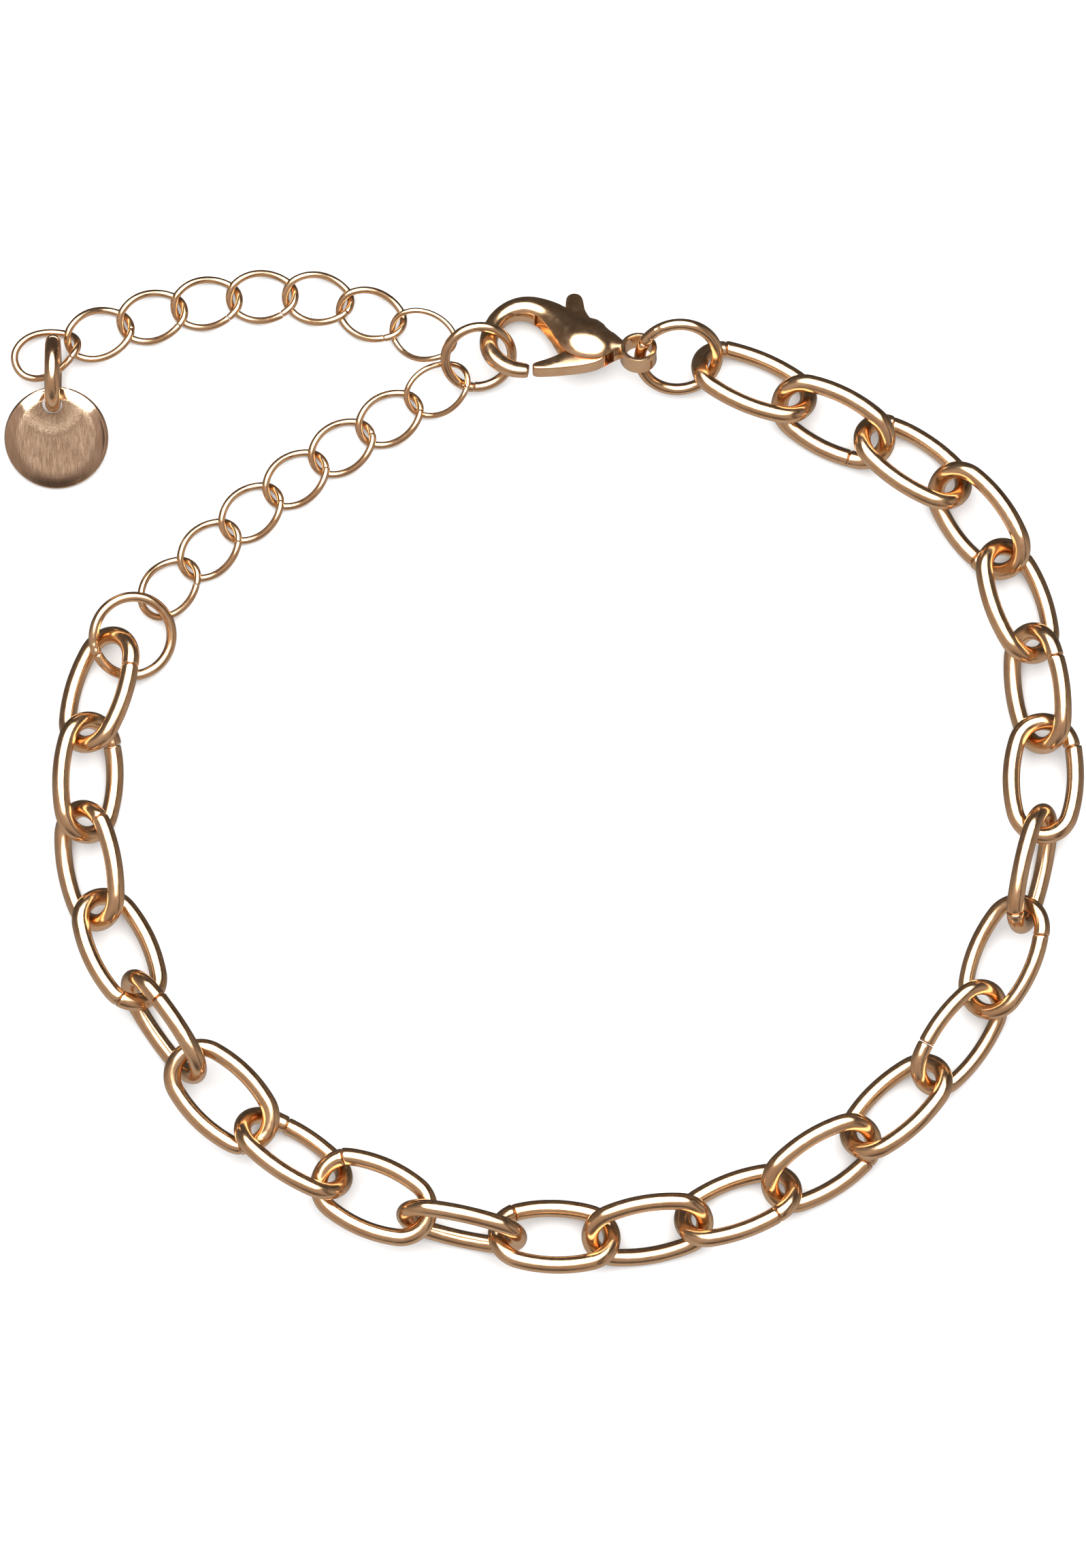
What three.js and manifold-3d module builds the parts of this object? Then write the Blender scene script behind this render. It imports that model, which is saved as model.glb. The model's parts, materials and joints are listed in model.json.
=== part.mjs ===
// A closed oval-link chain bracelet: 24 oval links, a curb-link extender with a round tag, and a lobster
// clasp. It lies flat on a table, with the clasp hooked on the ring in the middle of the extender.
// Units are millimetres and degrees. +Z is up, +X runs along the clasp, and the origin is under the middle.
import * as THREE from "three";
import { mergeVertices } from "three/addons/utils/BufferGeometryUtils.js";
import Module from "manifold-3d";

const wasm = await Module();
wasm.setup();

// ---------------------------------------------------------------- driving dimensions

// Wire pieces. Lengths and widths are overall, and a ring's are equal. endRadius is the bend of an oval's
// ends at the wire's middle. twist is how far a curb link's strands rise and fall. seam is where the wire's
// two ends meet, as a fraction of the way round from the piece's leading end.
const OVAL_LINK = {
  length: 9.05,
  width: 5.4,
  wire: 1.12,
  endRadius: 1.8,
  twist: 0,
  seam: 0.07,
  steps: 20,
  sides: 8,
};
const CURB_LINK = {
  length: 4.95,
  width: 3.7,
  wire: 0.44,
  endRadius: 1.25,
  twist: 0.4,
  seam: 0.5,
  steps: 18,
  sides: 6,
};
const ringOf = (diameter, wire, seam) => ({
  length: diameter,
  width: diameter,
  wire,
  twist: 0,
  seam,
  steps: 20,
  sides: 8,
});
const CLASP_RING = ringOf(6.1, 0.8, 0.36);
const END_RING = ringOf(6.1, 0.68, 0.62);
const MIDDLE_RING = ringOf(5.25, 0.65, 0.75);
const CHARM_RING = ringOf(5.3, 1.0, 0.06);
const SEAM_GAP = 0.04;

// The round tag, which leans on the charm ring with its far edge on the table.
const TAG = { diameter: 7.1, thickness: 0.7, hole: 1.6, holeOffset: [-0.3, 2.28], bevel: 0.14, tilt: 20 };

// How the chain lies: the route that the oval links' middles follow, from the clasp's side round to the
// extender. The links are closer together at its start and stretched half way round, by up to this fraction
// of the route.
const OVAL_ROUTE = [
  [14.4, 27.5],
  [29.4, 18.4],
  [34.0, 0.2],
  [28.5, -17.0],
  [13.4, -28.7],
  [-5.2, -30.3],
  [-21.9, -21.3],
  [-30.8, -5.7],
  [-30.2, 6.4],
];
const OVAL_STRETCH = 0.004;

// How far each oval link is rolled about its length. A link with a positive roll has its outer side up.
const OVAL_ROLL = [
  -37, 37, -37, 36, -36, 46, -12, -70, 26, -41, 37, -37,
  37, -42, 27, -72, -10, 47, -10, -70, 27, -42, 37, -37,
];

// The extender's two routes of curb links: the lower run from the end ring to the middle ring, and the free
// end from the middle ring to the tag.
const LOWER_ROUTE = [
  [-25.5, 13.5],
  [-20.4, 18.3],
  [-14.0, 23.0],
  [-7.2, 27.1],
];
const LOWER_ROLL = [0, 0, 0, 0, 0, 0, 1];
const FREE_ROUTE = [
  [-8.2, 30.8],
  [-15.3, 33.4],
  [-23.0, 33.1],
  [-30.2, 31.0],
  [-33.9, 29.6],
];
const FREE_ROLL = [-2, 0, 0, 0, 0, 0, 0, 20];

// The rings: where each lies, the way its leading end points, how far that end is tipped up, and its roll.
const CLASP_RING_AT = { x: 9.25, y: 29.15, z: 2.55, heading: -13, pitch: -15, roll: 39 };
const END_RING_AT = { x: -27.95, y: 10.1, z: 1.45, heading: 60, pitch: 5, roll: 19 };
const MIDDLE_RING_AT = { x: -4.4, y: 29.2, z: 2.12, heading: 0, pitch: -10.5, roll: 34.5 };
const CHARM_RING_AT = { x: -33.4, y: 28.0 };
const TAG_AT = { x: -33.2, y: 23.7 };

// Where the ends of the three rows of links meet the rings, and where the last curb link points.
const MEETINGS = {
  claspRingToChain: [11.3, 28.6, 1.75],
  chainToEndRing: [-29.0, 8.7, 1.5],
  endRingToLowerRun: [-26.6, 12.2, 0.9],
  lowerRunToMiddleRing: [-5.2, 28.0, 1.46],
  middleRingToFreeEnd: [-6.1, 30.0, 1.52],
  pastFreeEnd: [-36.0, 28.8, 0.8],
};

// The clasp, with its pivot at this place and its thumb tab's side rolled down.
const CLASP_AT = { x: 3.3, y: 29.9, z: 2.56, roll: -30 };

// The clasp's casting: [x, y, half width, half thickness] from the hook's tip to the neck at the eye.
const CLASP_STATIONS = [
  [-4.27, -2.18, 0.42, 0.46],
  [-5.42, -1.94, 0.56, 0.5],
  [-6.35, -1.32, 0.6, 0.55],
  [-6.9, -0.44, 0.62, 0.6],
  [-6.98, 0.66, 0.62, 0.65],
  [-6.45, 2.09, 0.64, 0.7],
  [-5.45, 2.99, 0.72, 0.8],
  [-4.3, 3.17, 0.86, 0.92],
  [-3.03, 2.64, 1.1, 1.08],
  [-1.9, 1.6, 1.44, 1.24],
  [-0.7, 0.54, 1.9, 1.38],
  [0.4, 0.05, 1.7, 1.36],
  [1.4, -0.17, 1.14, 1.05],
  [2.3, -0.34, 0.4, 0.62],
];
const CLASP_STEPS = 26;
const CLASP_SIDES = 10;
const CLASP_DEPTH = 3;
const EYE = { x: 3.21, y: -0.6, outer: 2.55, bore: 1.84, height: 1.2 };

// The slot between the two cheeks, which the trigger turns in.
const SLOT_WIDTH = 1.2;
const SLOT_OUTLINE = [
  [-4.0, 1.32],
  [-4.0, -3.19],
  [1.55, -3.19],
  [1.5, 0.55],
  [1.3, 1.76],
  [1.3, 5.28],
  [-2.15, 5.28],
  [-2.05, 2.59],
  [-2.7, 2.2],
  [-3.8, 2.53],
];

// The trigger: a nose that closes the hook, a hub on the pivot, and a thumb tab.
const LEVER_WIDTH = 1.06;
const LEVER_OUTLINE = [
  [-4.05, -1.85],
  [-3.95, -2.35],
  [-2.5, -2.29],
  [-0.6, -2.04],
  [0.5, -1.71],
  [1.0, -1.21],
  [1.1, 0.0],
  [0.75, 0.94],
  [-0.42, 2.53],
  [-0.58, 3.91],
  [-0.8, 4.08],
  [-1.16, 4.2],
  [-1.52, 4.08],
  [-1.74, 3.91],
  [-1.76, 2.53],
  [-1.25, 0.88],
  [-1.45, -0.33],
  [-2.1, -1.01],
  [-3.0, -1.47],
];

// The pivot pin is pressed in from the back and ends blind inside the front cheek.
const PIN_SIDES = 16;
const PIN = { diameter: 0.8, bore: 0.94, bottom: -1.24, top: 0.94, end: 0.07 };
const SPRING = {
  wire: 0.15,
  diameter: 1.21,
  pitch: 0.17,
  turns: 1.7,
  recess: 1.6,
  depth: 0.5,
  steps: 28,
  sides: 6,
};

// ---------------------------------------------------------------- materials

const polished = new THREE.MeshStandardMaterial({ color: 0xd9ab7c, metalness: 1, roughness: 0.16 });
const satin = new THREE.MeshStandardMaterial({ color: 0xcda58a, metalness: 1, roughness: 0.42 });
const springSteel = new THREE.MeshStandardMaterial({ color: 0xb4b4b2, metalness: 1, roughness: 0.3 });

// ---------------------------------------------------------------- wire pieces

// The flat outline of a wire piece at the wire's middle: a circle, or an oval of two end arcs and two
// side arcs.
function outlineOf(piece) {
  const a = (piece.length - piece.wire) / 2;
  const b = (piece.width - piece.wire) / 2;
  const outline = new THREE.Path();
  if (a === b) return outline.absarc(0, 0, a, 0, 2 * Math.PI);
  const end = piece.endRadius;
  const side = ((a - end) ** 2 + b ** 2 - end ** 2) / (2 * (b - end));
  const turn = Math.atan2(side - b, a - end);
  outline.absarc(a - end, 0, end, -turn, turn);
  outline.absarc(0, b - side, side, turn, Math.PI - turn);
  outline.absarc(end - a, 0, end, Math.PI - turn, Math.PI + turn);
  outline.absarc(0, side - b, side, Math.PI + turn, 2 * Math.PI - turn);
  return outline;
}

// The middle line of the bent wire, from one side of its seam round to the other.
class BentWire extends THREE.Curve {
  constructor(piece) {
    super();
    this.piece = piece;
    this.outline = outlineOf(piece);
    this.halfGap = SEAM_GAP / 2 / this.outline.getLength();
  }

  getPoint(t) {
    const along = this.piece.seam + this.halfGap + t * (1 - 2 * this.halfGap);
    const { x, y } = this.outline.getPointAt(along % 1);
    const turn = Math.atan2(y / this.piece.width, x / this.piece.length);
    return new THREE.Vector3(x, y, -this.piece.twist * Math.sin(2 * turn));
  }
}

function wireSection(diameter, sides) {
  const corners = [];
  for (let i = 0; i < sides; i++) {
    const turn = (2 * Math.PI * (i + 0.5)) / sides;
    corners.push(new THREE.Vector2(Math.cos(turn), Math.sin(turn)).multiplyScalar(diameter / 2));
  }
  return new THREE.Shape(corners);
}

function bendWire(piece) {
  return new THREE.ExtrudeGeometry(wireSection(piece.wire, piece.sides), {
    extrudePath: new BentWire(piece),
    steps: piece.steps,
  });
}

// ---------------------------------------------------------------- laying pieces down

const UP = new THREE.Vector3(0, 0, 1);

// A turn that points a piece's own X along heading, then rolls it so that its left side rises.
function turnAlong(heading, roll) {
  const forward = heading.clone().normalize();
  const left = new THREE.Vector3().crossVectors(UP, forward).normalize();
  const top = new THREE.Vector3().crossVectors(forward, left);
  const level = new THREE.Matrix4().makeBasis(forward, left, top);
  const rolled = new THREE.Matrix4().makeRotationX(THREE.MathUtils.degToRad(roll));
  return new THREE.Quaternion().setFromRotationMatrix(level.multiply(rolled));
}

// How high a piece's middle is when the lowest point of its wire just touches the table.
function heightOnTable(piece, turn) {
  const points = new BentWire(piece).getPoints(60);
  const lowest = Math.min(...points.map((p) => p.applyQuaternion(turn).z));
  return piece.wire / 2 - lowest;
}

function wireMesh(name, piece, place, turn) {
  const mesh = new THREE.Mesh(bendWire(piece), polished);
  mesh.name = name;
  mesh.position.copy(place);
  mesh.quaternion.copy(turn);
  return mesh;
}

const twoDigits = (n) => String(n).padStart(2, "0");

// Lays a row of linked pieces along a route. Neighbours meet half way between their middles, at a height
// that the steeper of the two mostly sets, and each piece points from one meeting to the next. It lies on
// the table unless its neighbours hold it higher.
function layRow({ name, firstNumber = 1, piece, route, rolls, stretch = 0, start, finish }) {
  const curve = new THREE.CatmullRomCurve3(route.map(([x, y]) => new THREE.Vector3(x, y, 0)));
  const level = new THREE.Vector3(1, 0, 0);
  const middles = rolls.map((roll, i) => {
    const part = i / (rolls.length - 1);
    const place = curve.getPointAt(Math.min(part - stretch * Math.sin(2 * Math.PI * part), 1));
    return place.setZ(heightOnTable(piece, turnAlong(level, roll)));
  });
  const steepness = rolls.map((roll) => roll ** 2 + 1);
  const between = middles.slice(1).map((p, i) => {
    const share = steepness[i] / (steepness[i] + steepness[i + 1]);
    const held = middles[i].z * share + p.z * (1 - share);
    return p.clone().add(middles[i]).divideScalar(2).setZ(held);
  });
  const meetings = [new THREE.Vector3(...start), ...between, new THREE.Vector3(...finish)];
  return middles.map((place, i) => {
    const turn = turnAlong(meetings[i + 1].clone().sub(meetings[i]), rolls[i]);
    const held = (meetings[i].z + meetings[i + 1].z) / 2;
    place.setZ(Math.max(heightOnTable(piece, turn), held));
    return wireMesh(`${name}_${twoDigits(firstNumber + i)}`, piece, place, turn);
  });
}

function layRing(name, piece, { x, y, z, heading, pitch, roll }) {
  const [across, up] = [heading, pitch].map(THREE.MathUtils.degToRad);
  const forward = new THREE.Vector3(Math.cos(across), Math.sin(across), Math.tan(up));
  return wireMesh(name, piece, new THREE.Vector3(x, y, z), turnAlong(forward, roll));
}

// ---------------------------------------------------------------- solids

function solidOf(geometry) {
  const bare = geometry.clone();
  bare.deleteAttribute("normal");
  bare.deleteAttribute("uv");
  const merged = mergeVertices(bare, 1e-4);
  const vertProperties = new Float32Array(merged.attributes.position.array);
  const triVerts = new Uint32Array(merged.index.array);
  return new wasm.Manifold(new wasm.Mesh({ numProp: 3, vertProperties, triVerts }));
}

function geometryOf(solid) {
  const { vertProperties, triVerts } = solid.getMesh();
  const geometry = new THREE.BufferGeometry();
  geometry.setAttribute("position", new THREE.BufferAttribute(vertProperties, 3));
  geometry.setIndex(new THREE.BufferAttribute(triVerts, 1));
  return geometry;
}

const pointsOf = (pairs) => pairs.map(([x, y]) => new THREE.Vector2(x, y));

// A plate with the given outline in the clasp's own plane, centred on its mid-thickness.
function plateOf(outline, thickness) {
  const shape = new THREE.Shape(pointsOf(outline));
  const plate = new THREE.ExtrudeGeometry(shape, { depth: thickness, bevelEnabled: false });
  return plate.translate(0, 0, -thickness / 2);
}

function roundBar(diameter, bottom, top, x = 0, y = 0) {
  const bar = new THREE.CylinderGeometry(diameter / 2, diameter / 2, top - bottom, PIN_SIDES);
  return bar.rotateX(Math.PI / 2).translate(x, y, (top + bottom) / 2);
}

// ---------------------------------------------------------------- lobster clasp

// The clasp's own frame has its origin on the pivot, +X towards the eye, +Y towards the thumb tab and +Z out
// of its face.

// The casting is one horn, from the hook's tip round the arch and through the belly to the neck at the eye.
// Each station holds the middle [x, y] and the half width and half thickness there.
function hornOf(stations, steps, sides) {
  const middles = new THREE.CatmullRomCurve3(stations.map(([x, y]) => new THREE.Vector3(x, y, 0)));
  const sizes = new THREE.CatmullRomCurve3(stations.map(([, , w, t]) => new THREE.Vector3(w, t, 0)));
  const positions = [];
  for (let i = 0; i <= steps; i++) {
    const middle = middles.getPoint(i / steps);
    const along = middles.getTangent(i / steps);
    const size = sizes.getPoint(i / steps);
    for (let k = 0; k < sides; k++) {
      const turn = (2 * Math.PI * k) / sides;
      const across = size.x * Math.cos(turn);
      positions.push(middle.x - along.y * across, middle.y + along.x * across, size.y * Math.sin(turn));
    }
  }
  const index = [];
  for (let i = 0; i < steps; i++) {
    for (let k = 0; k < sides; k++) {
      const [a, b] = [i * sides + k, i * sides + ((k + 1) % sides)];
      index.push(a, b, a + sides, b, b + sides, a + sides);
    }
  }
  const last = steps * sides;
  for (let k = 1; k < sides - 1; k++) {
    index.push(0, k + 1, k);
    index.push(last, last + k, last + k + 1);
  }
  const horn = new THREE.BufferGeometry();
  horn.setAttribute("position", new THREE.Float32BufferAttribute(positions, 3));
  return horn.setIndex(index);
}

function claspBody() {
  const horn = solidOf(hornOf(CLASP_STATIONS, CLASP_STEPS, CLASP_SIDES));
  const eye = solidOf(roundBar(EYE.outer, -EYE.height / 2, EYE.height / 2, EYE.x, EYE.y));
  const eyeBore = solidOf(roundBar(EYE.bore, -EYE.height, EYE.height, EYE.x, EYE.y));
  const slot = solidOf(plateOf(SLOT_OUTLINE, SLOT_WIDTH));
  const pinBore = solidOf(roundBar(PIN.bore, -CLASP_DEPTH, PIN.top + PIN.end));
  return geometryOf(horn.add(eye).subtract(eyeBore).subtract(slot).subtract(pinBore));
}

function claspTrigger() {
  const lever = solidOf(plateOf(LEVER_OUTLINE, LEVER_WIDTH));
  const bore = solidOf(roundBar(PIN.bore, -LEVER_WIDTH, LEVER_WIDTH));
  const recess = solidOf(roundBar(SPRING.recess, LEVER_WIDTH / 2 - SPRING.depth, LEVER_WIDTH));
  return geometryOf(lever.subtract(bore).subtract(recess));
}

// The torsion spring: a coil round the pin, in the recess of the trigger.
class Coil extends THREE.Curve {
  getPoint(t) {
    const turn = 2 * Math.PI * SPRING.turns * t;
    const height = LEVER_WIDTH / 2 - SPRING.depth + SPRING.wire + SPRING.pitch * SPRING.turns * t;
    const radius = SPRING.diameter / 2;
    return new THREE.Vector3(radius * Math.cos(turn), radius * Math.sin(turn), height);
  }
}

function claspSpring() {
  return new THREE.ExtrudeGeometry(wireSection(SPRING.wire, SPRING.sides), {
    extrudePath: new Coil(),
    steps: SPRING.steps,
  });
}

function clasp() {
  const group = new THREE.Group();
  group.position.set(CLASP_AT.x, CLASP_AT.y, CLASP_AT.z);
  group.quaternion.copy(turnAlong(new THREE.Vector3(1, 0, 0), CLASP_AT.roll));
  const pieces = {
    clasp_body: [claspBody(), polished],
    clasp_trigger: [claspTrigger(), polished],
    clasp_pivot_pin: [roundBar(PIN.diameter, PIN.bottom, PIN.top), polished],
    clasp_spring: [claspSpring(), springSteel],
  };
  for (const [name, [geometry, material]] of Object.entries(pieces)) {
    const mesh = new THREE.Mesh(geometry, material);
    mesh.name = name;
    group.add(mesh);
  }
  return group;
}

// ---------------------------------------------------------------- tag and charm ring

function charmRing() {
  const ring = new THREE.Mesh(bendWire(CHARM_RING), polished);
  ring.name = "charm_ring";
  ring.rotation.set(0, Math.PI / 2, 0);
  ring.position.set(CHARM_RING_AT.x, CHARM_RING_AT.y, CHARM_RING.length / 2);
  return ring;
}

function tag() {
  const shape = new THREE.Shape().absarc(0, 0, TAG.diameter / 2, 0, 2 * Math.PI);
  shape.holes.push(new THREE.Path().absarc(...TAG.holeOffset, TAG.hole / 2, 0, 2 * Math.PI, true));
  const geometry = new THREE.ExtrudeGeometry(shape, {
    depth: TAG.thickness - 2 * TAG.bevel,
    bevelSize: TAG.bevel,
    bevelThickness: TAG.bevel,
    bevelOffset: -TAG.bevel,
    bevelSegments: 1,
    curveSegments: 14,
  });
  const mesh = new THREE.Mesh(geometry.translate(0, 0, TAG.bevel - TAG.thickness / 2), satin);
  mesh.name = "charm_disc";
  const tilt = THREE.MathUtils.degToRad(TAG.tilt);
  mesh.rotation.set(tilt, 0, 0);
  const height = ((TAG.diameter - TAG.bevel) * Math.sin(tilt) + TAG.thickness * Math.cos(tilt)) / 2;
  mesh.position.set(TAG_AT.x, TAG_AT.y, height);
  return mesh;
}

// ---------------------------------------------------------------- the whole bracelet

const chain = layRow({
  name: "oval_link",
  piece: OVAL_LINK,
  route: OVAL_ROUTE,
  rolls: OVAL_ROLL,
  stretch: OVAL_STRETCH,
  start: MEETINGS.claspRingToChain,
  finish: MEETINGS.chainToEndRing,
});
const lowerRun = layRow({
  name: "extender_link",
  piece: CURB_LINK,
  route: LOWER_ROUTE,
  rolls: LOWER_ROLL,
  start: MEETINGS.endRingToLowerRun,
  finish: MEETINGS.lowerRunToMiddleRing,
});
const freeEnd = layRow({
  name: "extender_link",
  firstNumber: lowerRun.length + 1,
  piece: CURB_LINK,
  route: FREE_ROUTE,
  rolls: FREE_ROLL,
  start: MEETINGS.middleRingToFreeEnd,
  finish: MEETINGS.pastFreeEnd,
});
const rings = [
  layRing("ring_clasp_side", CLASP_RING, CLASP_RING_AT),
  layRing("ring_chain_end", END_RING, END_RING_AT),
  layRing("ring_middle", MIDDLE_RING, MIDDLE_RING_AT),
];

const laid = new THREE.Group();
laid.add(clasp(), ...rings, ...chain, ...lowerRun, ...freeEnd, charmRing(), tag());
laid.updateMatrixWorld(true);
const box = new THREE.Box3().setFromObject(laid, true);
const middle = box.getCenter(new THREE.Vector3());
laid.position.set(-middle.x, -middle.y, -box.min.z);

const bracelet = new THREE.Group();
bracelet.add(laid);
export default bracelet;
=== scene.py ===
import json
import math

import bmesh
import bpy
import numpy as np
from mathutils import Matrix, Vector

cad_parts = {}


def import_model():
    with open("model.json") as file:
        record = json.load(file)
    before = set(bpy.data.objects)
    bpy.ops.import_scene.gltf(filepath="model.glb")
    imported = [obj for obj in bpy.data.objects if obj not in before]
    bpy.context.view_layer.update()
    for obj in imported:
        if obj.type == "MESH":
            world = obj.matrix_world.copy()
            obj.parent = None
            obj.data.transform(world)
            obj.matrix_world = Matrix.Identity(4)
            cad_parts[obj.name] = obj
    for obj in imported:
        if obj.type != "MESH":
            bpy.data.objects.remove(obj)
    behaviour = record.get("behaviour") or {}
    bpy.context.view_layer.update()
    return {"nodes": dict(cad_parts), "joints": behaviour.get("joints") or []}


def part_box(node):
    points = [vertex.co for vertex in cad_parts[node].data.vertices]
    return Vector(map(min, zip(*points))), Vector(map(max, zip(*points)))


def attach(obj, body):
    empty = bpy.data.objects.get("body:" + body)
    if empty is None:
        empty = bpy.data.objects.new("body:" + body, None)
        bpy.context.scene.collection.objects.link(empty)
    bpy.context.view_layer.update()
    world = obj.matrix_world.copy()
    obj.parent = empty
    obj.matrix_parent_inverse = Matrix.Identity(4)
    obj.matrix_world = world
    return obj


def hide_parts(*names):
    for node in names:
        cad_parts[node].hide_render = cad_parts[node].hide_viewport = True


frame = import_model()

MM = 0.001
TURN = 2 * math.pi

# Sizes in millimetres, and a ring's seam in degrees round it. A wire's fullness is how thick it is
# drawn against its nominal size.
OVAL = {"length": 8.98, "width": 5.6, "wire": 1.12, "end": 1.97, "fullness": 1.06}
CURB = {"length": 4.95, "width": 3.7, "wire": 0.44, "end": 1.25, "twist": 0.4, "fullness": 1.1}
RINGS = {
    "ring_clasp_side": {"length": 6.1, "wire": 0.8, "seam": 152, "gap": 0.07, "marks": 4},
    "ring_chain_end": {"length": 6.1, "wire": 0.68, "seam": 205, "gap": 0.05, "marks": 2},
    "ring_middle": {"length": 5.25, "wire": 0.65, "seam": 262, "gap": 0.05, "marks": 2},
    "charm_ring": {"length": 5.3, "wire": 1.0, "seam": 25, "gap": 0.05, "marks": 0},
}
RING_FULLNESS = 1.03

# The wire pieces that swing closest to a neighbour, and how full their wire is.
FULLNESS = {
    "oval_link_01": 1.03,
    "oval_link_09": 0.96,
    "oval_link_10": 0.96,
    "extender_link_07": 0.88,
    "extender_link_08": 0.88,
    "ring_clasp_side": 1.0,
}

# Which end of each oval link its seam is at: -1 towards the clasp, 1 away from it.
OVAL_SEAM_END = [
    -1, 1, -1, 1, -1, -1, -1, 1, -1, 1, 1, -1,
    -1, -1, 1, -1, 1, 1, -1, 1, -1, 1, 1, 1,
]

rng = np.random.default_rng(7)


# ---------------------------------------------------------------- places


def joint_of(body):
    """The joint that a body hangs on."""
    return next(j for j in frame["joints"] if j["child"] == body)


def moments(node):
    """A closed solid's middle, and its thin and long directions, from its volume."""
    mesh = frame["nodes"][node].data
    mesh.calc_loop_triangles()
    points = np.array([v.co for v in mesh.vertices])
    corners = np.array([t.vertices[:] for t in mesh.loop_triangles])
    a, b, c = (points[corners[:, k]] for k in range(3))
    volume = np.einsum("ij,ij->i", a, np.cross(b, c)) / 6
    total = a + b + c
    middle = (volume[:, None] * total).sum(0) / 4 / volume.sum()
    second = sum(np.einsum("i,ij,ik->jk", volume, p, p) for p in (a, b, c, total))
    second = second / 20 / volume.sum() - np.outer(middle, middle)
    axes = np.linalg.eigh(second)[1].T
    return middle, axes[0], axes[2]


def place_of(node, towards=None):
    """A matrix from a wire piece's own frame, in millimetres, to its place.

    Z is the piece's upper side. X is its length, away from the joint, or a ring's way towards.
    """
    middle, thin, long = moments(node)
    if thin @ [0.05, 0.02, 1.0] < 0:
        thin = -thin
    if towards:
        long = np.array(towards) - thin * (thin @ np.array(towards))
        long /= np.linalg.norm(long)
    elif long @ (middle - np.array(joint_of(node)["pos_m"])) < 0:
        long = -long
    turned_to = Matrix(np.column_stack([long, np.cross(thin, long), thin]).tolist()).to_4x4()
    return Matrix.Translation(Vector(middle)) @ turned_to @ Matrix.Scale(MM, 4)


def leaning_place(middle, up):
    """A matrix from millimetres to a piece with its X along the table's, and this way up."""
    along = Vector((1, 0, 0))
    turned_to = Matrix((along, up.cross(along), up)).transposed().to_4x4()
    return Matrix.Translation(middle) @ turned_to @ Matrix.Scale(MM, 4)


def finished(name, mesh, body, slot, material, *nodes):
    """Puts a mesh in the scene as a piece that rides on a body and stands for CAD nodes."""
    piece = bpy.data.objects.new(name, mesh)
    bpy.context.scene.collection.objects.link(piece)
    mesh.materials.clear()
    mesh.materials.append(material)
    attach(piece, body)
    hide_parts(*nodes)


# ---------------------------------------------------------------- solids


def mesh_of(name, points, faces):
    mesh = bpy.data.meshes.new(name)
    mesh.from_pydata([tuple(p) for p in points], [], faces)
    edit = bmesh.new()
    edit.from_mesh(mesh)
    bmesh.ops.recalc_face_normals(edit, faces=edit.faces)
    edit.to_mesh(mesh)
    edit.free()
    return mesh


def loft(name, rings):
    """A closed skin over a run of rings of points, with flat ends."""
    rows, sides = len(rings), len(rings[0])
    faces = []
    for i in range(rows - 1):
        low, high = i * sides, (i + 1) * sides
        for k in range(sides):
            n = (k + 1) % sides
            faces.append((low + k, low + n, high + n, high + k))
    faces.append(tuple(range(sides - 1, -1, -1)))
    faces.append(tuple((rows - 1) * sides + k for k in range(sides)))
    return mesh_of(name, np.vstack(rings), faces)


def turned(name, profile, sides=64, x=0.0, y=0.0):
    """A solid turned about Z. The profile runs [radius, height], and closes on itself or the axis."""
    turn = TURN * np.arange(sides) / sides
    points, faces, rows = [], [], []
    for radius, height in profile:
        if radius == 0:
            rows.append([len(points)] * sides)
            points.append((x, y, height))
        else:
            rows.append(list(range(len(points), len(points) + sides)))
            points += [(x + radius * math.cos(t), y + radius * math.sin(t), height) for t in turn]
    if profile[0][0] > 0:
        rows.append(rows[0])
    for low, high in zip(rows, rows[1:]):
        for k in range(sides):
            n = (k + 1) % sides
            corners = [low[k], low[n], high[n], high[k]]
            face = [c for i, c in enumerate(corners) if c not in corners[:i]]
            if len(face) > 2:
                faces.append(face)
    return mesh_of(name, points, faces)


def slab(name, line, half_height):
    """A flat plate with this outline, half above and half below the middle."""
    rings = [np.column_stack([line, np.full(len(line), z)]) for z in (-half_height, half_height)]
    return loft(name, rings)


def round_corners(line, share=0.2, times=2):
    """The outline with each corner cut twice."""
    p = np.array(line, float)
    for _ in range(times):
        ahead = np.roll(p, -1, axis=0)
        cut = (ahead - p) * share
        p = np.stack([p + cut, ahead - cut], axis=1).reshape(-1, 2)
    return p


def through(points, count):
    """A smooth run of points through the given ones."""
    p = np.array(points, float)
    p = np.vstack([2 * p[0] - p[1], p, 2 * p[-1] - p[-2]])
    run = []
    for t in np.linspace(0, len(points) - 1 - 1e-9, count):
        i, u = int(t), t - int(t)
        a, b, c, d = p[i : i + 4]
        bend = 2 * a - 5 * b + 4 * c - d
        twist = 3 * b - a - 3 * c + d
        run.append(0.5 * (2 * b + (c - a) * u + bend * u**2 + twist * u**3))
    return np.array(run)


def changed(mesh, *modifiers):
    """The mesh after some modifiers. Each is its kind, its settings, and a tool's mesh or None."""
    thing = bpy.data.objects.new("thing", mesh)
    bpy.context.scene.collection.objects.link(thing)
    tools = []
    for kind, settings, tool_mesh in modifiers:
        modifier = thing.modifiers.new("change", kind)
        for key, value in settings.items():
            setattr(modifier, key, value)
        if tool_mesh:
            modifier.object = bpy.data.objects.new("tool", tool_mesh)
            bpy.context.scene.collection.objects.link(modifier.object)
            tools.append(modifier.object)
    bpy.context.view_layer.update()
    evaluated = thing.evaluated_get(bpy.context.evaluated_depsgraph_get())
    result = bpy.data.meshes.new_from_object(evaluated)
    for extra in (thing, *tools):
        bpy.data.objects.remove(extra)
    return result


def cut_or_join(operation, tool_mesh):
    return "BOOLEAN", {"operation": operation, "solver": "EXACT"}, tool_mesh


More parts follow.
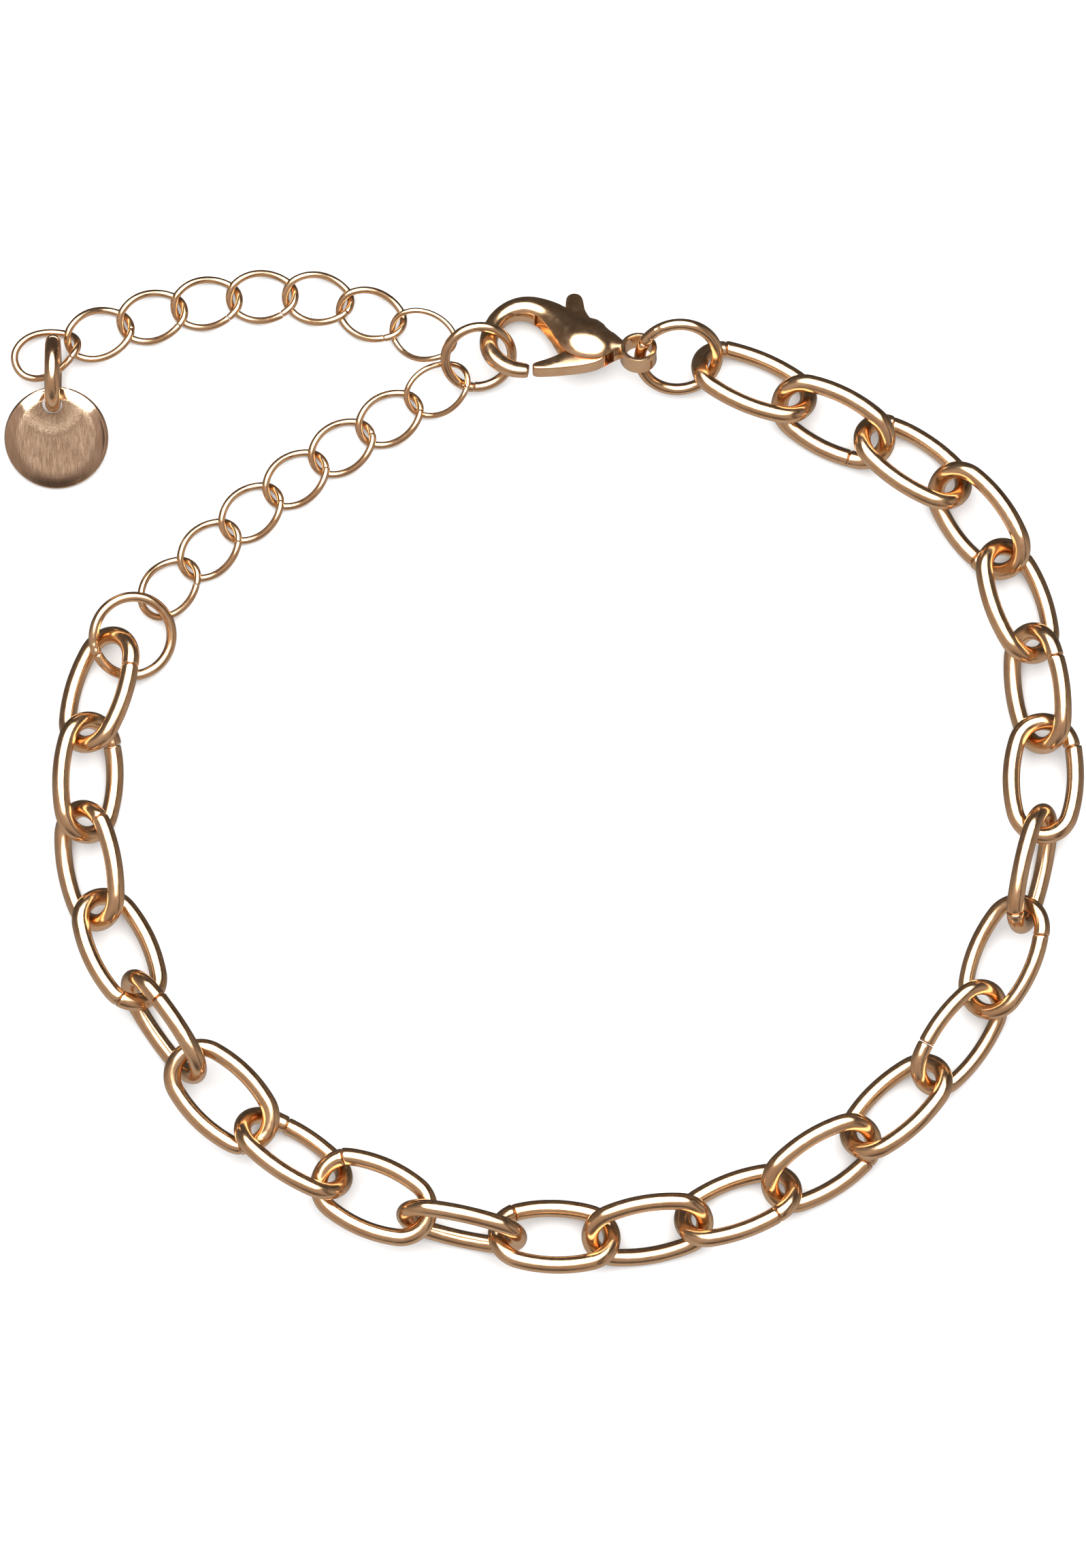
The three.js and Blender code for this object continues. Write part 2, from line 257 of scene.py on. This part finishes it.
def softened(mesh, width, over=38, segments=2):
    """The mesh with its edges that are sharper than an angle rounded."""
    settings = {"width": width, "segments": segments, "limit_method": "ANGLE"}
    settings["angle_limit"] = math.radians(over)
    return changed(mesh, ("BEVEL", settings, None))


def settle(mesh, place, sharp_over):
    """Moves a mesh to its place, faces outwards, smooth but for edges sharper than an angle."""
    mesh.transform(place)
    edit = bmesh.new()
    edit.from_mesh(mesh)
    bmesh.ops.recalc_face_normals(edit, faces=edit.faces)
    for face in edit.faces:
        face.smooth = True
    for edge in edit.edges:
        edge.smooth = edge.calc_face_angle(0) < math.radians(sharp_over)
    edit.to_mesh(mesh)
    edit.free()


def tube_points(middle, out, up, radius, turn):
    """Rings of points round a middle line. The radius is one row for each ring."""
    return (
        middle[:, None, :]
        + (radius * np.cos(turn))[..., None] * out[:, None, :]
        + (radius * np.sin(turn))[..., None] * up[:, None, :]
    )


# ---------------------------------------------------------------- bent wire

# How far from the seam the wire's first rings are.
NEAR_SEAM = np.array([0, 0.012, 0.03, 0.055, 0.09, 0.14, 0.21, 0.3])


def arc(middle_x, middle_y, radius, start, stop, count=400):
    turn = np.linspace(start, stop, count)
    return np.column_stack([middle_x + radius * np.cos(turn), middle_y + radius * np.sin(turn)])


def outline(length, width, wire, end):
    """The closed middle line of a wire piece: a circle, or an oval of four arcs."""
    a, b = (length - wire) / 2, (width - wire) / 2
    if end is None:
        return arc(0, 0, a, 0, TURN, 1600)
    side = ((a - end) ** 2 + b**2 - end**2) / (2 * (b - end))
    turn = math.atan2(side - b, a - end)
    arcs = [
        arc(a - end, 0, end, -turn, turn),
        arc(0, b - side, side, turn, math.pi - turn),
        arc(end - a, 0, end, math.pi - turn, math.pi + turn),
        arc(0, side - b, side, math.pi + turn, TURN - turn),
    ]
    return np.vstack(arcs + [arcs[0][:1]])


class Wire:
    """How neatly a wire piece is closed.

    seam is where its ends meet, as a fraction of the way round. gap, step and lip are how far the
    ends are apart, out of line and burred. cut is the slant of the cut, marks is how many plier
    marks are beside it, and sway is how far the piece is out of flat.
    """

    def __init__(self, seam, gap, step, lip, cut=8.0, marks=0, sway=0.004):
        self.seam = seam
        self.gap = gap
        self.step = step
        self.lip = lip
        self.cut = cut
        self.marks = marks
        self.sway = sway


def wire_line(size, look, steps):
    """The wire's length, its rings' distances along it and middles, and how thick each ring is."""
    line = outline(size["length"], size.get("width", size["length"]), size["wire"], size.get("end"))
    run = np.concatenate([[0], np.cumsum(np.linalg.norm(np.diff(line, axis=0), axis=1))])
    total = run[-1]
    length = total - look.gap
    spots = np.concatenate([NEAR_SEAM, np.linspace(0.4, length - 0.4, steps), length - NEAR_SEAM[::-1]])
    along = (look.seam * total + look.gap / 2 + spots) % total
    x, y = np.interp(along, run, line[:, 0]), np.interp(along, run, line[:, 1])
    z = -size.get("twist", 0) * np.sin(2 * np.arctan2(y / size.get("width", 1), x / size["length"]))
    phase = rng.uniform(0, TURN, 4)
    angle = TURN * along / total
    z = z + look.sway * (np.sin(2 * angle + phase[0]) + 0.6 * np.sin(3 * angle + phase[1]))
    thickness = 1 + 0.006 * np.sin(3 * angle + phase[2])
    return length, spots, np.column_stack([x, y, z]), thickness


def wire_radius(full, look, length, spots, turn, burrs):
    """The radius round each ring: rounded ends, a burr on each of them, and plier marks."""
    from_end = np.minimum(spots, length - spots)
    radius = np.full((len(spots), len(turn)), full)
    radius *= 1 - 0.13 * np.exp(-from_end / 0.045)[:, None]
    for far_end, where in enumerate(burrs):
        facing = np.cos(turn - where).clip(0) ** 5
        fade = np.exp(-from_end / 0.09) * ((spots > length / 2) == far_end)
        radius += look.lip * fade[:, None] * facing[None, :]
    for k in range(look.marks):
        spot = length - 0.45 - 0.33 * k - rng.uniform(0, 0.1)
        facing = np.cos(turn - math.pi / 2 - 0.5 + 0.2 * k).clip(0) ** 2
        slant = spots[:, None] + 0.16 * np.sin(turn - math.pi / 2)[None, :]
        radius -= 0.09 * facing[None, :] * np.exp(-(((slant - spot) / 0.07) ** 2))
    return radius


def wire_mesh(node, place, size, look, steps, sides):
    """A tube from one side of the seam round to the other, with cut ends."""
    length, spots, middle, thickness = wire_line(size, look, steps)
    ahead = np.gradient(middle, spots, axis=0)
    ahead /= np.linalg.norm(ahead, axis=1)[:, None]
    out = np.cross(ahead, [0, 0, 1])
    out /= np.linalg.norm(out, axis=1)[:, None]
    up = np.cross(out, ahead)
    from_end = np.minimum(spots, length - spots)
    step = look.step * np.exp(-from_end / 0.9) * (spots > length / 2)
    middle += step[:, None] * (0.8 * out + 0.6 * up)
    turn = TURN * np.arange(sides) / sides
    burrs = rng.uniform(0, TURN, 2)
    full = size["wire"] / 2 * FULLNESS.get(node, size.get("fullness", RING_FULLNESS))
    radius = wire_radius(full, look, length, spots, turn, burrs) * thickness[:, None]
    points = tube_points(middle, out, up, radius, turn)
    slope = math.tan(math.radians(look.cut)) * np.cos(turn - burrs[0]) * size["wire"] / 2
    slide = np.exp(-from_end / 0.12)[:, None] * slope[None, :]
    slide = np.clip(slide, -look.gap * 0.35, look.gap * 0.9)
    points += slide[..., None] * ahead[:, None, :] * 0.5
    mesh = loft(node, points)
    settle(mesh, place, 50)
    return mesh


# ---------------------------------------------------------------- materials


def nodes_for(name):
    """A new metal: its material, its node tree, its shader, and where a point is."""
    material = bpy.data.materials.new(name)
    material.use_nodes = True
    tree = material.node_tree
    shader = tree.nodes["Principled BSDF"]
    shader.inputs["Metallic"].default_value = 1.0
    where = tree.nodes.new("ShaderNodeTexCoord")
    return material, tree, shader, where.outputs["Object"]


def scaled(tree, where, scale=(1, 1, 1)):
    """Where a point is, in millimetres times a scale."""
    mapping = tree.nodes.new("ShaderNodeMapping")
    mapping.inputs["Scale"].default_value = [s / MM for s in scale]
    tree.links.new(where, mapping.inputs["Vector"])
    return mapping.outputs["Vector"]


def noise(tree, vector, scale, detail=3.0, roughness=0.5):
    node = tree.nodes.new("ShaderNodeTexNoise")
    node.inputs["Scale"].default_value = scale
    node.inputs["Detail"].default_value = detail
    node.inputs["Roughness"].default_value = roughness
    tree.links.new(vector, node.inputs["Vector"])
    return node.outputs["Fac"]


def spread(tree, value, low, high, to_low, to_high):
    """The value's range from low to high, drawn onto another range and held at its ends."""
    node = tree.nodes.new("ShaderNodeMapRange")
    settings = {"From Min": low, "From Max": high, "To Min": to_low, "To Max": to_high}
    for name, number in settings.items():
        node.inputs[name].default_value = number
    tree.links.new(value, node.inputs["Value"])
    return node.outputs["Result"]


def ramp(tree, value, stops):
    node = tree.nodes.new("ShaderNodeValToRGB")
    band = node.color_ramp
    while len(band.elements) < len(stops):
        band.elements.new(0.5)
    for element, (spot, color) in zip(band.elements, stops):
        element.position = spot
        element.color = (*color, 1)
    tree.links.new(value, node.inputs["Fac"])
    return node.outputs["Color"]


def bump(tree, height, distance, strength, under=None):
    """A bump's normal. The distance is in millimetres, and the strength a number or a socket."""
    node = tree.nodes.new("ShaderNodeBump")
    node.inputs["Distance"].default_value = distance * MM
    if isinstance(strength, float):
        node.inputs["Strength"].default_value = strength
    else:
        tree.links.new(strength, node.inputs["Strength"])
    tree.links.new(height, node.inputs["Height"])
    if under is not None:
        tree.links.new(under, node.inputs["Normal"])
    return node.outputs["Normal"]


def distance_from(tree, where, spot):
    """How far a point is from a spot, both in metres."""
    node = tree.nodes.new("ShaderNodeVectorMath")
    node.operation = "DISTANCE"
    node.inputs[1].default_value = spot
    tree.links.new(where, node.inputs[0])
    return node.outputs["Value"]


def polished_gold():
    """Flash-plated brass wire: uneven colour, faint drawn-wire waves, and fine rub marks."""
    material, tree, shader, where = nodes_for("polished_rose_gold")
    at = scaled(tree, where)
    golds = [(0.3, (0.80, 0.51, 0.285)), (0.52, (0.86, 0.58, 0.34)), (0.75, (0.90, 0.64, 0.40))]
    tree.links.new(ramp(tree, noise(tree, at, 0.55, 4), golds), shader.inputs["Base Color"])
    smudges = noise(tree, at, 2.2, 6, 0.6)
    tree.links.new(spread(tree, smudges, 0.3, 0.75, 0.11, 0.25), shader.inputs["Roughness"])
    waves = bump(tree, noise(tree, at, 0.9, 1), 0.05, 0.22)
    rubs = bump(tree, noise(tree, at, 14.0, 3), 0.004, 0.35, waves)
    tree.links.new(rubs, shader.inputs["Normal"])
    return material


def steel_wire():
    material, tree, shader, where = nodes_for("spring_steel")
    at = scaled(tree, where)
    greys = [(0.3, (0.5, 0.5, 0.49)), (0.7, (0.72, 0.71, 0.69))]
    tree.links.new(ramp(tree, noise(tree, at, 3), greys), shader.inputs["Base Color"])
    tree.links.new(spread(tree, noise(tree, at, 9), 0.3, 0.7, 0.2, 0.4), shader.inputs["Roughness"])
    tree.links.new(bump(tree, noise(tree, at, 20), 0.004, 0.4), shader.inputs["Normal"])
    return material


def satin_gold(middle, hole):
    """The tag's face: upright grain, a bruise round its hole, and a polished edge."""
    material, tree, shader, where = nodes_for("satin_rose_gold")
    grain = noise(tree, scaled(tree, where, (13, 1.1, 1.1)), 1.0, 4, 0.65)
    patches = noise(tree, scaled(tree, where, (1.2, 0.5, 0.5)), 1.0, 3)
    tones = tree.nodes.new("ShaderNodeMix")
    tones.inputs["Factor"].default_value = 0.55
    tree.links.new(patches, tones.inputs["A"])
    tree.links.new(grain, tones.inputs["B"])
    golds = [(0.36, (0.60, 0.42, 0.28)), (0.5, (0.71, 0.515, 0.355)), (0.64, (0.86, 0.65, 0.47))]
    tree.links.new(ramp(tree, tones.outputs["Result"], golds), shader.inputs["Base Color"])

    inside = spread(tree, distance_from(tree, where, middle), 2.86 * MM, 2.66 * MM, 0.0, 1.0)
    rough = tree.nodes.new("ShaderNodeMix")
    rough.inputs["A"].default_value = 0.1
    tree.links.new(inside, rough.inputs["Factor"])
    tree.links.new(spread(tree, grain, 0.35, 0.65, 0.2, 0.38), rough.inputs["B"])
    tree.links.new(rough.outputs["Result"], shader.inputs["Roughness"])

    speck = noise(tree, scaled(tree, where), 7.0, 5, 0.7)
    bruise = tree.nodes.new("ShaderNodeMath")
    bruise.operation = "MULTIPLY"
    near_hole = spread(tree, distance_from(tree, where, hole), 1.0 * MM, 2.2 * MM, 1.0, 0.0)
    tree.links.new(near_hole, bruise.inputs[0])
    tree.links.new(speck, bruise.inputs[1])
    lines = bump(tree, grain, 0.03, inside)
    dents = bump(tree, bruise.outputs["Value"], 0.18, inside, lines)
    tree.links.new(bump(tree, speck, 0.008, inside, dents), shader.inputs["Normal"])
    return material


GOLD = polished_gold()
STEEL = steel_wire()


# ---------------------------------------------------------------- links and rings


def oval_links():
    for number, end in enumerate(OVAL_SEAM_END, 1):
        node = f"oval_link_{number:02d}"
        look = Wire(
            ((0.0 if end > 0 else 0.5) + rng.uniform(-0.05, 0.05)) % 1,
            gap=rng.uniform(0.03, 0.055),
            step=rng.uniform(-0.09, 0.09),
            lip=rng.uniform(0.05, 0.13),
            cut=rng.uniform(-14, 14),
        )
        mesh = wire_mesh(node, place_of(node), OVAL, look, steps=110, sides=28)
        finished(f"look_{node}", mesh, node, "polished_rose_gold", GOLD, node)


def extender_links():
    for number in range(1, 16):
        node = f"extender_link_{number:02d}"
        look = Wire(0.5 + rng.uniform(-0.06, 0.06), gap=0.03, step=rng.uniform(-0.04, 0.04), lip=0.02)
        if node in FULLNESS:
            look.step, look.lip, look.sway = 0.0, 0.0, 0.0
        mesh = wire_mesh(node, place_of(node), CURB, look, steps=84, sides=18)
        finished(f"look_{node}", mesh, node, "polished_rose_gold", GOLD, node)


def rings():
    for node, size in RINGS.items():
        towards = (0, 1, 0) if node == "charm_ring" else (1, 0, 0)
        look = Wire(size["seam"] / 360, gap=size["gap"], step=0.04, lip=0.03, marks=size["marks"])
        mesh = wire_mesh(node, place_of(node, towards), size, look, steps=110, sides=28)
        finished(f"look_{node}", mesh, node, "polished_rose_gold", GOLD, node)


oval_links()
extender_links()
rings()

# ---------------------------------------------------------------- lobster clasp

# The casting's stations, from the hook's tip to the neck: [x, y, half width, half thickness].
CLASP_STATIONS = [
    (-4.30, -2.18, 0.46, 0.46),
    (-5.42, -1.94, 0.56, 0.50),
    (-6.35, -1.32, 0.60, 0.55),
    (-6.90, -0.44, 0.62, 0.60),
    (-6.98, 0.66, 0.62, 0.65),
    (-6.45, 2.09, 0.64, 0.70),
    (-5.45, 2.99, 0.72, 0.80),
    (-4.30, 3.17, 0.86, 0.92),
    (-3.03, 2.64, 1.10, 0.98),
    (-1.90, 1.60, 1.46, 1.12),
    (-0.70, 0.46, 1.96, 1.36),
    (0.40, -0.04, 1.78, 1.30),
    (1.40, -0.20, 1.16, 0.92),
    (2.30, -0.34, 0.42, 0.60),
]
CLASP_ROWS, CLASP_SIDES = 120, 44
EYE = {"x": 3.21, "y": -0.6, "outer": 1.275, "bore": 0.92, "height": 1.4}
SLOT_HALF_WIDTH = 0.6
SLOT = [
    (-4.0, 1.32),
    (-4.0, -3.19),
    (1.55, -3.19),
    (1.5, 0.55),
    (1.3, 1.76),
    (1.3, 5.28),
    (-2.15, 5.28),
    (-2.05, 2.58),
    (-2.7, 2.2),
    (-3.8, 2.53),
]
LEVER_HALF_WIDTH = 0.52
LEVER = [
    (-4.05, -1.85),
    (-3.95, -2.35),
    (-2.5, -2.29),
    (-0.6, -2.04),
    (0.5, -1.71),
    (1.0, -1.21),
    (1.1, 0.0),
    (0.75, 0.94),
    (-0.42, 2.53),
    (-0.58, 3.75),
    (-0.8, 4.08),
    (-1.16, 4.2),
    (-1.52, 4.08),
    (-1.74, 3.75),
    (-1.76, 2.53),
    (-1.25, 0.88),
    (-1.45, -0.33),
    (-2.1, -1.01),
    (-3.0, -1.47),
]
PIN = [(0, -1.24), (0.28, -1.235), (0.37, -1.18), (0.395, -1.1), (0.395, 0.8), (0.35, 0.9), (0, 0.93)]
SPRING = {"radius": 0.605, "wire": 0.148, "pitch": 0.17, "turns": 1.7, "start": 0.18}

trigger = joint_of("clasp_trigger")
clasp_place = leaning_place(Vector(trigger["pos_m"]), -Vector(trigger["axis"]).normalized())


def clasp_rings():
    """Rings of the hook and the belly: squared off at the hook's tip, and oval from there on."""
    line = through(CLASP_STATIONS, CLASP_ROWS)
    ahead = np.gradient(line[:, :2], axis=0)
    ahead /= np.linalg.norm(ahead, axis=1)[:, None]
    turn = TURN * np.arange(CLASP_SIDES) / CLASP_SIDES
    for i, (x, y, wide, thick) in enumerate(line):
        power = 2 / (2.0 + 0.7 * max(0.0, 1 - i / (0.62 * CLASP_ROWS)))
        tip = 0.985 * (1 - 0.14 * math.exp(-i / 0.9))
        across = np.sign(np.cos(turn)) * np.abs(np.cos(turn)) ** power * wide * tip
        up = np.sign(np.sin(turn)) * np.abs(np.sin(turn)) ** power * thick * tip
        yield np.column_stack([x - ahead[i, 1] * across, y + ahead[i, 0] * across, up])


def eye_mesh():
    """The short tube at the clasp's end, with softened lips and a slightly hollow wall."""
    top, lip = EYE["height"] / 2, 0.07
    outer, bore = EYE["outer"], EYE["bore"]
    middle = (outer + bore) / 2
    wall = [
        (outer - 0.1, -top),
        (outer - 0.02, -top + lip),
        (outer - 0.05, -0.2),
        (outer - 0.05, 0.2),
        (outer - 0.02, top - lip),
        (outer - 0.1, top),
        (middle, top + 0.005),
        (bore + 0.07, top),
        (bore + 0.01, top - lip),
        (bore + 0.01, -top + lip),
        (bore + 0.07, -top),
        (middle, -top - 0.005),
    ]
    return turned("eye", wall, 72, EYE["x"], EYE["y"])


def clasp_body_mesh():
    horn = loft("horn", list(clasp_rings()))
    clear = EYE["bore"] + 0.1
    bore = turned("bore", [(0, -2), (clear, -2), (clear, 2), (0, 2)], 64, EYE["x"], EYE["y"])
    slot = slab("slot", round_corners(SLOT), SLOT_HALF_WIDTH)
    solid = changed(
        horn,
        cut_or_join("DIFFERENCE", bore),
        cut_or_join("UNION", eye_mesh()),
        cut_or_join("DIFFERENCE", slot),
    )
    return softened(solid, 0.05)


def lever_mesh():
    return softened(slab("lever", round_corners(LEVER), LEVER_HALF_WIDTH), 0.09, 50, 3)


def spring_mesh():
    turn = np.linspace(0, TURN * SPRING["turns"], 70)
    height = SPRING["start"] + SPRING["pitch"] * turn / TURN
    coil = np.column_stack([SPRING["radius"] * np.cos(turn), SPRING["radius"] * np.sin(turn), height])
    ahead = np.gradient(coil, axis=0)
    ahead /= np.linalg.norm(ahead, axis=1)[:, None]
    out = np.cross(ahead, [0, 0, 1])
    up = np.cross(out, ahead)
    section = TURN * np.arange(12) / 12
    radius = np.full((len(coil), len(section)), SPRING["wire"] / 2)
    return loft("spring", tube_points(coil, out, up, radius, section))


def clasp_piece(mesh, sharp_over, body, node, slot="polished_rose_gold", material=GOLD):
    settle(mesh, clasp_place, sharp_over)
    finished(f"look_{node}", mesh, body, slot, material, node)


clasp_piece(clasp_body_mesh(), 34, "clasp", "clasp_body")
clasp_piece(lever_mesh(), 40, "clasp_trigger", "clasp_trigger")
clasp_piece(turned("pin", PIN, 40), 50, "clasp", "clasp_pivot_pin")
clasp_piece(spring_mesh(), 50, "clasp", "clasp_spring", "spring_steel", STEEL)

# ---------------------------------------------------------------- tag

# The tag's hole, the dent that punching it left, and where its crowned edge starts.
TAG = {"half": 0.35, "hole": 0.68, "hole_at": (-0.26, 2.36), "dent": 0.26, "dent_wide": 1.25}
CROWN = {"from": 2.42, "to": 3.35, "drop": 0.25, "side": 0.2}

low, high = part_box("charm_disc")
tag_up = Vector(moments("charm_disc")[1].tolist())
tag_place = leaning_place((low + high) / 2, tag_up if tag_up.z > 0 else -tag_up)


def tag_profile():
    """The tag's half section, from the middle of its face round its edge to its back."""
    half, drop = TAG["half"], CROWN["drop"]
    reach = CROWN["to"] - CROWN["from"]
    face = [
        (r, half - drop * max(0.0, (r - CROWN["from"]) / reach) ** 1.7)
        for r in np.linspace(0.3, CROWN["to"], 48)
    ]
    rim = [
        (CROWN["to"] + CROWN["side"] * math.sin(t), half - drop - CROWN["side"] * (1 - math.cos(t)))
        for t in np.linspace(0.45, math.pi / 2, 7)
    ]
    back = [(3.55, -0.12), (3.53, -0.22), (3.46, -0.3), (3.34, -0.342), (3.2, -half), (0, -half)]
    return [(0, half)] + face + rim + back


def tag_mesh():
    disc = turned("disc", tag_profile(), 160)
    for vertex in disc.vertices:
        away = math.dist(vertex.co[:2], TAG["hole_at"])
        if vertex.co.z > 0:
            depth = 1 - (away - TAG["hole"] + 0.04) / TAG["dent_wide"]
            vertex.co.z -= TAG["dent"] * min(1.0, max(0.0, depth)) ** 2
    hole = TAG["hole"]
    wide = hole + 0.1
    lower = [(0, -1), (wide, -1), (wide, -0.36), (hole, -0.24)]
    upper = [(hole, 0.22), (wide, 0.36), (wide, 1), (0, 1)]
    throat = turned("throat", lower + upper, 56, *TAG["hole_at"])
    return changed(disc, cut_or_join("DIFFERENCE", throat))


def tag():
    mesh = tag_mesh()
    settle(mesh, tag_place, 28)
    middle = tag_place @ Vector((0, 0, TAG["half"]))
    hole = tag_place @ Vector((*TAG["hole_at"], TAG["half"]))
    satin = satin_gold(middle, hole)
    finished("look_charm_disc", mesh, "charm_disc", "satin_rose_gold", satin, "charm_disc")


tag()

# ---------------------------------------------------------------- floor, light and camera


def paper_floor():
    """A pale paper sheet. Polished metal reflects the room's lower half in place of it."""
    mesh = bpy.data.meshes.new("floor")
    mesh.from_pydata([(-2, -2, 0), (2, -2, 0), (2, 2, 0), (-2, 2, 0)], [], [(0, 1, 2, 3)])
    floor = bpy.data.objects.new("floor", mesh)
    bpy.context.scene.collection.objects.link(floor)
    paper = bpy.data.materials.new("paper")
    paper.use_nodes = True
    shader = paper.node_tree.nodes["Principled BSDF"]
    shader.inputs["Base Color"].default_value = (0.78, 0.78, 0.78, 1)
    shader.inputs["Roughness"].default_value = 0.9
    mesh.materials.append(paper)
    floor.visible_glossy = False


def softbox(tilt, distance, wide, deep, power):
    """An oval panel of light aimed at the middle, tilted back from straight overhead."""
    lamp = bpy.data.lights.new("key", "AREA")
    lamp.shape, lamp.size, lamp.size_y, lamp.energy = "ELLIPSE", wide, deep, power
    panel = bpy.data.objects.new("key", lamp)
    bpy.context.scene.collection.objects.link(panel)
    away = Vector((0, math.sin(math.radians(tilt)), math.cos(math.radians(tilt))))
    panel.location = away * distance
    panel.rotation_euler = away.to_track_quat("Z", "Y").to_euler()


def warm_greys(*stops):
    return [(spot, (grey, grey * 0.905, grey * 0.86)) for spot, grey in stops]


def room_seen(sky):
    """The room that the metal reflects: palest a little to the front, dark behind, paper below."""
    direction = sky.nodes.new("ShaderNodeTexCoord")
    split = sky.nodes.new("ShaderNodeSeparateXYZ")
    sky.links.new(direction.outputs["Generated"], split.inputs["Vector"])
    depth = spread(sky, split.outputs["Y"], -1, 1, 0, 1)
    width = spread(sky, split.outputs["X"], -1, 1, 0, 1)
    front = ((0.0, 0.09), (0.03, 0.13), (0.1, 0.36), (0.28, 0.46), (0.42, 0.50))
    back = ((0.62, 0.2), (0.85, 0.09), (1.0, 0.07))
    over = ramp(sky, depth, warm_greys(*front, *back))
    sheet = ((0.0, 0.52), (0.35, 0.44), (0.5, 0.28), (0.7, 0.1), (1.0, 0.06))
    under = ramp(sky, depth, warm_greys(*sheet))
    left = ((0.0, 0.7), (0.15, 1.0), (0.8, 1.0))
    right = ((0.835, 0.25), (0.88, 0.3), (0.93, 0.9), (1.0, 0.7))
    side = ramp(sky, width, warm_greys(*left, *right))
    walls, room = (sky.nodes.new("ShaderNodeMix") for _ in range(2))
    for mix in (walls, room):
        mix.data_type = "RGBA"
    walls.blend_type = "MULTIPLY"
    walls.inputs["Factor"].default_value = 1.0
    sky.links.new(over, walls.inputs[6])
    sky.links.new(side, walls.inputs[7])
    sky.links.new(spread(sky, split.outputs["Z"], 0.02, -0.12, 0, 1), room.inputs["Factor"])
    sky.links.new(walls.outputs[2], room.inputs[6])
    sky.links.new(under, room.inputs[7])
    return room.outputs[2]


def world():
    """White to the eye and the paper, and the room to anything polished."""
    made = bpy.data.worlds.new("room")
    bpy.context.scene.world = made
    made.use_nodes = True
    sky = made.node_tree
    reflected, bright = (sky.nodes.new("ShaderNodeBackground") for _ in range(2))
    sky.links.new(room_seen(sky), reflected.inputs["Color"])
    bright.inputs["Color"].default_value = (1, 1, 1, 1)
    bright.inputs["Strength"].default_value = 1.02
    ray = sky.nodes.new("ShaderNodeLightPath")
    pick = sky.nodes.new("ShaderNodeMixShader")
    sky.links.new(ray.outputs["Is Glossy Ray"], pick.inputs["Fac"])
    sky.links.new(bright.outputs["Background"], pick.inputs[1])
    sky.links.new(reflected.outputs["Background"], pick.inputs[2])
    sky.links.new(pick.outputs["Shader"], sky.nodes["World Output"].inputs["Surface"])


def camera(target, elevation, distance, view_height):
    """A camera in front of the target and almost above it, with a view of this height."""
    data = bpy.data.cameras.new("camera")
    data.sensor_width = 36
    data.lens = data.sensor_width * distance / view_height
    data.clip_start = 0.01
    made = bpy.data.objects.new("camera", data)
    bpy.context.scene.collection.objects.link(made)
    rise = math.radians(elevation)
    away = Vector((0, -math.cos(rise), math.sin(rise)))
    made.location = target + away * distance
    made.rotation_euler = away.to_track_quat("Z", "Y").to_euler()
    bpy.context.scene.camera = made


paper_floor()
softbox(tilt=20, distance=1.25, wide=1.95, deep=1.8, power=33)
world()
camera(Vector((0.00005, -0.001, 0.0013)), elevation=84, distance=0.9, view_height=0.1066752)
bpy.context.scene.view_settings.view_transform = "Standard"
